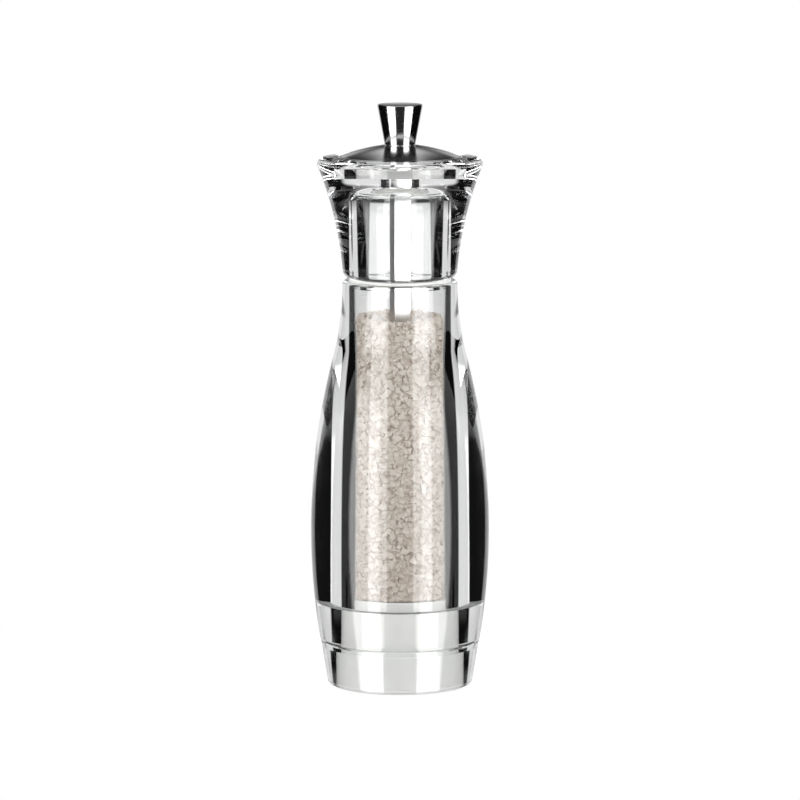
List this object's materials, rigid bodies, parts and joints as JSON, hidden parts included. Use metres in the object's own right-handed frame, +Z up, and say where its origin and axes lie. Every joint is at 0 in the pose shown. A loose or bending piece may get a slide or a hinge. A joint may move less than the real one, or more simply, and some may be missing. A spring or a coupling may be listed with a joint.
{
  "type": "pepper mill",
  "caption": "Clear acrylic hand mill with a waisted body, a flared turning head, a domed steel cap, a conical adjusting knob and a ceramic grinder, filled with coarse salt.",
  "frame": {"origin": "centre of the foot ring, on the surface that the mill stands on", "axes": "+Z up along the mill's axis, towards the knob; -Y is the front"},
  "size_m": [0.0548, 0.0548, 0.179],
  "materials": {
    "clear_acrylic": "clear, polished",
    "polished_steel": "polished",
    "spindle_alloy": "drawn, satin",
    "white_plastic": "satin",
    "burr_ceramic": "matt",
    "nylon": "smooth",
    "silicone": "matt",
    "sea_salt": "coarse crystals"
  },
  "bodies": {
    "mill_body": {"base_ring": "clear_acrylic", "body_shell": "clear_acrylic", "mechanism_housing": "white_plastic", "housing_gasket": "silicone", "stator_burr": "burr_ceramic", "stator_retainer": "white_plastic", "bearing_bridge": "polished_steel", "bridge_screws": "polished_steel", "thrust_washer": "nylon", "head_glide_ring": "nylon", "salt_fill": "sea_salt"},
    "drive_bush": {"guide_bush": "nylon", "rotor_spring": "polished_steel"},
    "spindle": {"spindle": "spindle_alloy", "rotor_burr": "burr_ceramic", "rotor_washer": "polished_steel", "rotor_screw": "polished_steel"},
    "head": {"head_shell": "clear_acrylic", "drive_disc": "white_plastic", "dome_plate": "polished_steel"},
    "knob": {"adjusting_knob": "polished_steel", "knob_washer": "polished_steel"}
  },
  "joints": [
    {"name": "grind_turn", "type": "hinge", "parent": "mill_body", "child": "drive_bush", "pos_m": [0, 0, 0.0192], "axis": [0, 0, 1], "continuous": true},
    {"name": "grind_adjust", "type": "slide", "parent": "drive_bush", "child": "spindle", "axis": [0, 0, 1], "range_m": [-0.0008, 0.0008], "deforming": ["rotor_spring"]},
    {"name": "head_lift", "type": "slide", "parent": "drive_bush", "child": "head", "axis": [0, 0, 1], "range_m": [0, 0.062]},
    {"name": "knob_turn", "type": "hinge", "parent": "head", "child": "knob", "pos_m": [0, 0, 0.1736], "axis": [0, 0, 1], "range_deg": [-360, 360]}
  ],
  "couplings": [
    {"joint": "grind_adjust", "follows": "knob_turn", "m_per_rad": -0.00012732}
  ]
}
